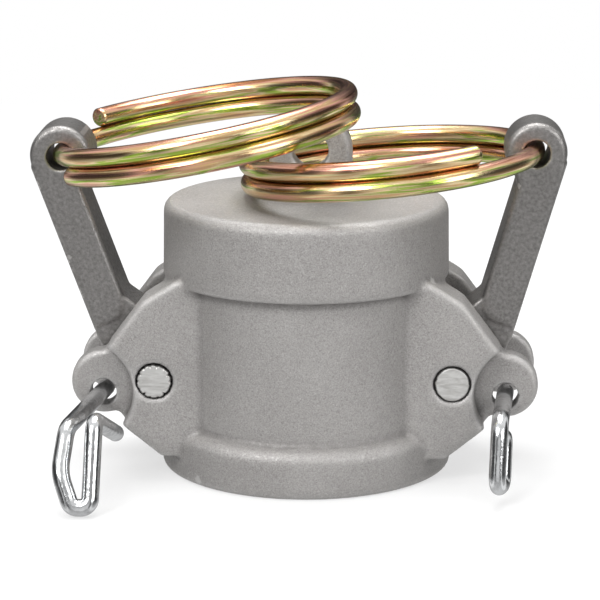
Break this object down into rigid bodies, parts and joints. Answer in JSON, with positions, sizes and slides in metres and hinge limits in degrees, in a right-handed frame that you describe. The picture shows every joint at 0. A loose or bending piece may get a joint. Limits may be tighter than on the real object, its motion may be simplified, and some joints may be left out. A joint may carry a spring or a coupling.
{
  "type": "camlock dust cap",
  "caption": "Dust cap for a one-inch cam and groove adapter, with two cam arms on pins, split pull rings and wire safety clips.",
  "frame": {"origin": "centre of the cap's axis on its mouth plane, which is also the plane it stands on", "axes": "+Z from the mouth to the closed end; +X through the right arm, seen from the side of the clip legs; the arm pins run along Y"},
  "size_m": [0.0887, 0.0612, 0.0644],
  "materials": {
    "cast_body": "blasted casting",
    "arm_steel": "smooth investment casting",
    "pin_steel": "turned, bright",
    "ring_plating": "yellow passivated zinc plate",
    "clip_plating": "bright zinc plate",
    "seal_rubber": "matt moulded"
  },
  "bodies": {
    "cap": {"cap_body": "cast_body", "gasket": "seal_rubber", "left_pin": "pin_steel", "right_pin": "pin_steel"},
    "left_cam_arm": {"left_arm": "arm_steel"},
    "right_cam_arm": {"right_arm": "arm_steel"},
    "left_ring": {"left_pull_ring": "ring_plating"},
    "right_ring": {"right_pull_ring": "ring_plating"},
    "left_clip": {"left_safety_clip": "clip_plating"},
    "right_clip": {"right_safety_clip": "clip_plating"}
  },
  "joints": [
    {"name": "right_arm_pivot", "type": "hinge", "parent": "cap", "child": "right_cam_arm", "pos_m": [0.0245, 0, 0.017], "axis": [0, 1, 0], "range_deg": [0, 80]},
    {"name": "left_arm_pivot", "type": "hinge", "parent": "cap", "child": "left_cam_arm", "pos_m": [-0.0245, 0, 0.017], "axis": [0, -1, 0], "range_deg": [0, 80]},
    {"name": "right_ring_swing", "type": "hinge", "parent": "right_cam_arm", "child": "right_ring", "pos_m": [0.03795, 0, 0.05381], "axis": [0, 1, 0], "range_deg": [0, 224.2]},
    {"name": "left_ring_swing", "type": "hinge", "parent": "left_cam_arm", "child": "left_ring", "pos_m": [-0.04049, 0, 0.05278], "axis": [0, -1, 0], "range_deg": [0, 224.2]},
    {"name": "left_clip_slide", "type": "slide", "parent": "cap", "child": "left_clip", "axis": [-0.1904, -0.9797, -0.0627], "range_m": [0, 0.012]},
    {"name": "right_clip_slide", "type": "slide", "parent": "cap", "child": "right_clip", "axis": [-0.0795, -0.9968, 0], "range_m": [0, 0.012]}
  ],
  "couplings": [
    {"joint": "right_ring_swing", "follows": "right_arm_pivot", "ratio": 2.8},
    {"joint": "left_ring_swing", "follows": "right_arm_pivot", "ratio": 2.8}
  ]
}
